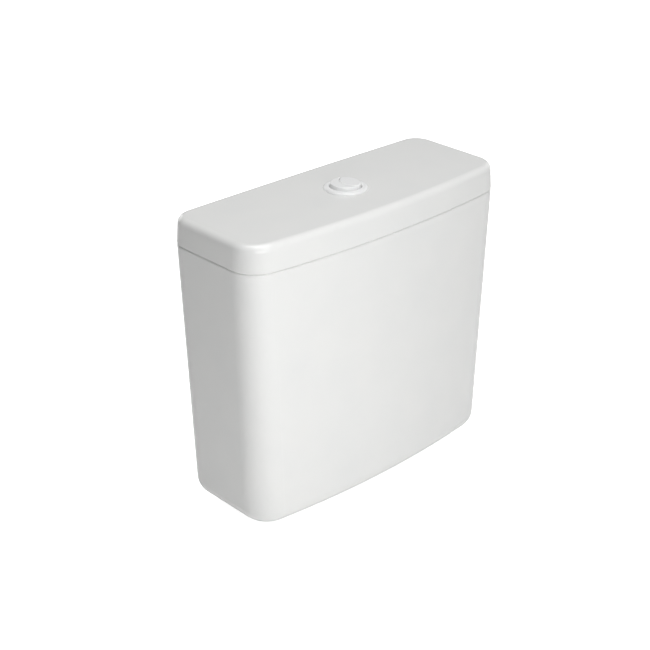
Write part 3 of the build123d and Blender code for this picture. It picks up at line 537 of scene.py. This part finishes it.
class CisternSizes(bpy.types.PropertyGroup):
    """Edge radii and threads of the pieces."""

    mould_edges: FloatProperty(
        name="Moulded edges",
        description="Share of each moulding's own edge radius",
        default=1.0,
        min=0.2,
        max=1.25,
        subtype="FACTOR",
    )
    rubber_edges: FloatProperty(
        name="Rubber edges",
        description="Share of each seal's own edge radius",
        default=1.0,
        min=0.2,
        max=1.25,
        subtype="FACTOR",
    )
    bolt_pitch: FloatProperty(
        name="Bolt pitch",
        description="Pitch of the coupling bolts' thread, mm",
        default=1.25,
        min=0.75,
        max=2.0,
    )
    tail_pitch: FloatProperty(
        name="Tail pitch", description="Pitch of the flush valve's tail, mm", default=3.0, min=1.5, max=4.0
    )
    shank_pitch: FloatProperty(
        name="Shank pitch", description="Pitch of the fill valve's shank, mm", default=1.814, min=1.0, max=2.5
    )


def tint(name, description, code):
    """Colour setting, from its sRGB hex code."""
    return FloatVectorProperty(
        name=name, description=description, subtype="COLOR", size=4, min=0.0, max=1.0, default=linear(code)
    )


class CisternColours(bpy.types.PropertyGroup):
    """Main colour of each finish, under its slot's name."""

    glazed_china: tint("Glaze", "Glaze of the tank and lid", "#F4F4F2")
    white_button_plastic: tint("Buttons", "Buttons and their bezel", "#FAFAFA")
    white_moulding: tint("White mouldings", "Valve bodies, housing, rods and nuts", "#E9EAE8")
    grey_moulding: tint("Grey mouldings", "Levers, hook, pins and small nuts", "#A2A7A9")
    blue_moulding: tint("Blue mouldings", "Pieces that a fitter adjusts", "#2F6DA8")
    black_rubber: tint("Rubber", "Seals, washers and gasket", "#191919")
    steel: tint("Steel", "Springs and steel washers", "#C3C5C6")
    brass: tint("Brass", "Coupling bolts and their nuts", "#DDC68C")


class CisternStage(bpy.types.PropertyGroup):
    """Where the photograph was taken from, and the studio."""

    azimuth: FloatProperty(
        name="Azimuth",
        description="Camera's angle round the cistern",
        default=math.radians(-43.14),
        subtype="ANGLE",
    )
    elevation: FloatProperty(
        name="Elevation",
        description="Camera's angle above the floor",
        default=math.radians(26.5),
        subtype="ANGLE",
    )
    distance: FloatProperty(
        name="Distance", description="Camera to its target", default=1.6434, unit="LENGTH"
    )
    target: FloatVectorProperty(
        name="Target",
        description="Point the camera looks at",
        default=(-0.0404, -0.010, 0.1924),
        subtype="TRANSLATION",
    )
    focal_pixels: FloatProperty(
        name="Focal length", description="Focal length in pixels of a 650 pixel frame", default=1468.96
    )
    floor_drop: FloatProperty(
        name="Floor drop", description="Gap from the lowest piece to the floor", default=0.002, unit="LENGTH"
    )
    fill: FloatProperty(name="Fill", description="Strength of the even light all round", default=0.1)


# ---------------------------------------------------------------------- pieces

# Mouldings: node, radius on its edges in mm
MOULDED = (
    ("button_bezel", 0.3),
    ("bezel_nut", 0.5),
    ("full_flush_lever", 0.35),
    ("half_flush_lever", 0.35),
    ("lever_bracket", 0.4),
    ("lift_hook", 0.4),
    ("refill_clip", 0.3),
    ("valve_housing", 0.4),
    ("half_flush_duct", 0.6),
    ("valve_lock_nut", 0.8),
    ("seal_carrier", 0.5),
    ("half_seal_carrier", 0.4),
    ("full_float_clips", 0.4),
    ("half_float_clips", 0.3),
    ("half_lift_rod", 0.3),
    ("fill_arm", 0.4),
    ("shut_off_plunger", 0.2),
    ("lever_pins", 0.3),
    ("arm_pin", 0.3),
)

# Rubbers: node, radius on its edges in mm
SOFT = (
    ("bezel_washer", 0.5),
    ("tank_washer", 0.8),
    ("outlet_gasket", 1.6),
    ("flush_seal", 0.7),
    ("half_flush_seal", 0.6),
    ("inlet_washer", 0.8),
    ("bolt_rubber_washers", 0.7),
)


class CISTERN_OT_finishes(bpy.types.Operator):
    """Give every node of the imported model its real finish"""

    bl_idname = "cistern.finishes"
    bl_label = "Finishes"

    def execute(self, context):
        for node, slot in SLOTS.items():
            data = NODES[node].data
            data.materials.clear()
            data.materials.append(finish(slot))
        return {"FINISHED"}


class CISTERN_OT_mouldings(bpy.types.Operator):
    """Soften the edges of the moulded pieces"""

    bl_idname = "cistern.mouldings"
    bl_label = "Mouldings"

    def execute(self, context):
        for node, width in MOULDED:
            softened(node, width * context.scene.cistern_sizes.mould_edges)
        return {"FINISHED"}


class CISTERN_OT_rubbers(bpy.types.Operator):
    """Round the edges of the seals, washers and the outlet gasket"""

    bl_idname = "cistern.rubbers"
    bl_label = "Rubbers"

    def execute(self, context):
        for node, width in SOFT:
            softened(node, width * context.scene.cistern_sizes.rubber_edges, segments=3)
        return {"FINISHED"}


class CISTERN_OT_springs(bpy.types.Operator):
    """Let each button's spring close up as its button goes down"""
    # """Put a welded steel copy of each button's spring on the lid's body, with a mesh of its own"""

    bl_idname = "cistern.springs"
    bl_label = "Springs"

    def execute(self, context):
        for name in ("full", "half"):
            node = f"{name}_button_spring"
            spring = show(node_shape(node), f"{node}_wound", "lid_set", "steel", (node,))
            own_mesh(spring)
        return {"FINISHED"}


class CISTERN_OT_fixings(bpy.types.Operator):
    """Cut the threads of the bolts and shape their nuts and washers"""

    bl_idname = "cistern.fixings"
    bl_label = "Fixings"

    def execute(self, context):
        for node in ("bolt_steel_washers", "under_steel_washers"):
            softened(node, width_mm=0.3)

        pitch = context.scene.cistern_sizes.bolt_pitch
        bolts = trimmed("coupling_bolts", level_mm=2.0, below=True)
        soften(bolts, width_mm=0.7)
        for x in BOLTS_X:
            threaded(bolts, x, low=-33.0, high=2.2, radius=3.98, depth=0.6, pitch=pitch)
        show(bolts, "coupling_bolts_threaded", "cistern", "brass", ("coupling_bolts",))

        nuts = bmesh.new()
        for x in BOLTS_X:
            hex_nut(nuts, x, low=2.0, high=8.5, corner=7.5, bore=4.1)
        show(nuts, "bolt_hex_nuts_turned", "cistern", "brass", ("bolt_hex_nuts",), smooth=25.0)

        nut = bmesh.new()
        hex_nut(nut, FILL_VALVE_X, low=1.5, high=10.0, corner=17.32, bore=10.58)
        show(nut, "inlet_lock_nut_moulded", "cistern", "white_moulding", ("inlet_lock_nut",), smooth=25.0)

        for name, x in PUSH_RODS_X:
            small = bmesh.new()
            hex_nut(small, x, low=303.5, high=306.0, corner=3.8, bore=1.8, steps=24)
            node = f"{name}_rod_lock_nut"
            show(small, f"{node}_moulded", f"{name}_button", "grey_moulding", (node,), smooth=25.0)
        return {"FINISHED"}


class CISTERN_OT_flush_valve(bpy.types.Operator):
    """Thread the flush valve's tail and the push rods, and mark its floats and tube"""

    bl_idname = "cistern.flush_valve"
    bl_label = "Flush valve"

    def execute(self, context):
        pitch = context.scene.cistern_sizes.tail_pitch
        base = trimmed("valve_base", level_mm=20.0, below=True)
        soften(base, width_mm=0.5)
        tail = {"low": -22.0, "high": 20.0, "radius": 27.97, "depth": 1.3, "bore": 24.0}
        threaded(base, FLUSH_VALVE_X, pitch=pitch, steps=96, **tail)
        show(base, "valve_base_threaded", "cistern", "white_moulding", ("valve_base",))

        for name, x in PUSH_RODS_X:
            node = f"{name}_push_rod"
            rod = trimmed(node, level_mm=278.0, below=False)
            soften(rod, width_mm=0.4)
            threaded(rod, x, low=278.0, high=317.0, radius=1.74, depth=0.28, pitch=1.0, steps=24)
            show(rod, f"{node}_threaded", f"{name}_button", "white_moulding", (node,))

        girdle = bead(radius=33.0, height=138.0, out=0.5, width=1.6)
        softened(
            "full_flush_float",
            width_mm=1.2,
            segments=3,
            more=lambda shape: turned(shape, FLUSH_VALVE_X, girdle, width_mm=0.2, steps=96),
        )
        small_girdle = bead(radius=12.0, height=181.0, out=0.3, width=1.2)
        softened(
            "half_flush_float",
            width_mm=0.9,
            segments=3,
            more=lambda shape: turned(shape, HALF_VALVE_X, small_girdle, width_mm=0.12),
        )

        marks = bmesh.new()
        for height in (178.0, 190.0, 202.0, 214.0):
            ring = bead(radius=16.0, height=height, out=0.2, width=0.8)
            turned(marks, FLUSH_VALVE_X, ring, width_mm=0.08, steps=96)
        show(marks, "overflow_level_rings", "flush_valve", "white_moulding")
        return {"FINISHED"}


class CISTERN_OT_fill_valve(bpy.types.Operator):
    """Thread the fill valve's shank and level rod, and rib its head and float"""

    bl_idname = "cistern.fill_valve"
    bl_label = "Fill valve"

    def execute(self, context):
        pitch = context.scene.cistern_sizes.shank_pitch
        body = trimmed("fill_valve_body", level_mm=1.0, below=True)
        soften(body, width_mm=0.4)
        shank = {"low": -20.0, "high": 1.2, "radius": 10.46, "depth": 1.0, "bore": 8.0}
        threaded(body, FILL_VALVE_X, pitch=pitch, steps=64, **shank)
        show(body, "fill_valve_body_threaded", "cistern", "white_moulding", ("fill_valve_body",))

        rod = trimmed("level_rod", level_mm=238.0, below=True)
        soften(rod, width_mm=0.3)
        threaded(rod, LEVEL_ROD_X, low=178.0, high=238.2, radius=1.98, depth=0.35, pitch=1.5, steps=24)
        show(rod, "level_rod_threaded", "level_screw", SLOTS["level_rod"], ("level_rod",))

        grip = {"radius": 19.0, "low": 205.0, "high": 225.0, "count": 36, "width": 1.2, "height": 0.5}
        softened("fill_valve_head", width_mm=0.4, more=lambda shape: ribs(shape, FILL_VALVE_X, **grip))
        flutes = {"radius": 26.0, "low": 163.0, "high": 191.0, "count": 24, "width": 1.6, "height": 0.4}
        softened("fill_float", width_mm=0.5, more=lambda shape: ribs(shape, FILL_VALVE_X, **flutes))
        return {"FINISHED"}


# ----------------------------------------------------------------------- stage

# White of the studio that a glossy surface mirrors
GLOSS_SHARE = 0.45

# Name, place, what it is aimed at, size in metres, watts
LAMPS = (
    ("near the left front corner", (-0.35, -0.95, 0.45), (-0.1, 0, 0.17), 0.6, 1.83),
    ("front left, low", (-0.62, -0.98, 0.40), (-0.1, 0, 0.17), 0.65, 3.6),
    ("overhead", (0.0, -0.1, 2.0), (0, 0, 0.3), 1.3, 18.4),
    ("overhead, front", (0.0, -1.0, 1.5), (0, 0, 0.3), 0.8, 4.0),
    ("behind", (0.1, 1.7, 0.55), (0, 0, 0.18), 1.0, 4.0),
    ("right", (1.7, 0.25, 0.55), (0, 0, 0.18), 1.0, 2.5),
)


def seen(tree):
    """1 for what the camera sees, straight or through glass, and less in a gloss: studio walls are dim."""
    path = add(tree, "ShaderNodeLightPath").outputs
    gloss = add(tree, "ShaderNodeMath", {0: path["Is Glossy Ray"], 1: GLOSS_SHARE}, operation="MULTIPLY")
    either = add(tree, "ShaderNodeMath", {0: path["Is Camera Ray"], 1: gloss.outputs[0]}, operation="MAXIMUM")
    inputs = {0: either.outputs[0], 1: path["Is Transmission Ray"]}
    return add(tree, "ShaderNodeMath", inputs, operation="MAXIMUM").outputs[0]


def paper_and_painted_glow(tree, place):
    """White paper sweep with a painted glow where it is seen: dimmer near by, so that it takes the object's
    shadow, rising to pure white further off, where the lamps' light falls away.
    """
    sheet = add(tree, "ShaderNodeBsdfDiffuse", {"Color": linear("#F4F4F4")})
    away = add(tree, "ShaderNodeVectorMath", {0: place}, operation="LENGTH").outputs["Value"]
    # Painted light: the glow's strength rises with distance from the middle, standing in for lamp light
    # further off
    light = ramp(tree, away, low=0.8, high=1.0, from_low=0.35, from_high=0.9)
    glow = add(tree, "ShaderNodeEmission", {"Strength": light})
    both = add(tree, "ShaderNodeAddShader", {0: sheet.outputs[0], 1: glow.outputs[0]})
    return add(tree, "ShaderNodeMixShader", {0: seen(tree), 1: sheet.outputs[0], 2: both.outputs[0]})


def add_light(name, place, aim, size, power):
    """Soft square lamp, aimed at a point."""
    data = bpy.data.lights.new(name, "AREA")
    data.size = size
    data.energy = power
    lamp = bpy.data.objects.new(name, data)
    lamp.location = place
    lamp.rotation_euler = (Vector(aim) - Vector(place)).to_track_quat("-Z", "Y").to_euler()
    bpy.context.scene.collection.objects.link(lamp)


def add_camera(scene, stage):
    """Camera where the photograph was taken from."""
    level = math.cos(stage.elevation)
    back = Vector(
        (math.sin(stage.azimuth) * level, -math.cos(stage.azimuth) * level, math.sin(stage.elevation))
    )
    data = bpy.data.cameras.new("camera")
    data.sensor_width = FILM_WIDTH
    data.lens = stage.focal_pixels * FILM_WIDTH / IMAGE_WIDTH
    camera = bpy.data.objects.new("camera", data)
    camera.location = Vector(stage.target) + back * stage.distance
    camera.rotation_euler = (-back).to_track_quat("-Z", "Y").to_euler()
    scene.collection.objects.link(camera)
    scene.camera = camera


def add_floor(scene, stage):
    """White paper just under the lowest piece."""
    shape = bmesh.new()
    bmesh.ops.create_grid(shape, x_segments=1, y_segments=1, size=12)
    bmesh.ops.translate(shape, verts=shape.verts, vec=(0, 0, cad_box[0][2] - stage.floor_drop))
    mesh = bpy.data.meshes.new("floor")
    shape.to_mesh(mesh)
    shape.free()
    floor = bpy.data.objects.new("floor", mesh)
    scene.collection.objects.link(floor)
    mesh.materials.append(material("Studio floor, white paper", paper_and_painted_glow))


def add_world(scene, stage):
    """World that is white where it is seen, and a low even light on the pieces."""
    world = bpy.data.worlds.new("Studio")
    scene.world = world
    world.use_nodes = True
    tree = world.node_tree
    tree.nodes.clear()
    fill = add(tree, "ShaderNodeBackground", {"Strength": stage.fill})
    white = add(tree, "ShaderNodeBackground", {"Strength": 1.0})
    pick = add(tree, "ShaderNodeMixShader", {0: seen(tree), 1: fill.outputs[0], 2: white.outputs[0]})
    add(tree, "ShaderNodeOutputWorld", {"Surface": pick.outputs[0]})


class CISTERN_OT_stage(bpy.types.Operator):
    """Set the camera, the floor, the world and the lamps"""

    bl_idname = "cistern.stage"
    bl_label = "Stage"

    def execute(self, context):
        scene = context.scene
        scene.view_settings.view_transform = "Standard"
        stage = scene.cistern_stage
        add_camera(scene, stage)
        add_floor(scene, stage)
        add_world(scene, stage)
        for lamp in LAMPS:
            add_light(*lamp)
        return {"FINISHED"}


# ----------------------------------------------------------------------- panel


class CISTERN_PT_panel(bpy.types.Panel):
    """Cistern pieces and studio"""

    bl_label = "Cistern"
    bl_idname = "CISTERN_PT_panel"
    bl_space_type = "VIEW_3D"
    bl_region_type = "UI"
    bl_category = "Cistern"

    def draw(self, context):
        for step in STEPS:
            self.layout.operator(step.bl_idname)


STEPS = (
    CISTERN_OT_finishes,
    CISTERN_OT_mouldings,
    CISTERN_OT_rubbers,
    CISTERN_OT_springs,
    CISTERN_OT_fixings,
    CISTERN_OT_flush_valve,
    CISTERN_OT_fill_valve,
    CISTERN_OT_stage,
)
CLASSES = (CisternSizes, CisternColours, CisternStage, *STEPS, CISTERN_PT_panel)


def register():
    for cls in CLASSES:
        bpy.utils.register_class(cls)
    bpy.types.Scene.cistern_sizes = PointerProperty(type=CisternSizes)
    bpy.types.Scene.cistern_colours = PointerProperty(type=CisternColours)
    bpy.types.Scene.cistern_stage = PointerProperty(type=CisternStage)


def unregister():
    del bpy.types.Scene.cistern_stage
    del bpy.types.Scene.cistern_colours
    del bpy.types.Scene.cistern_sizes
    for cls in reversed(CLASSES):
        bpy.utils.unregister_class(cls)


def main():
    register()
    bpy.ops.cistern.finishes()
    bpy.ops.cistern.mouldings()
    bpy.ops.cistern.rubbers()
    bpy.ops.cistern.springs()
    bpy.ops.cistern.fixings()
    bpy.ops.cistern.flush_valve()
    bpy.ops.cistern.fill_valve()
    bpy.ops.cistern.stage()


if __name__ == "__main__":
    main()
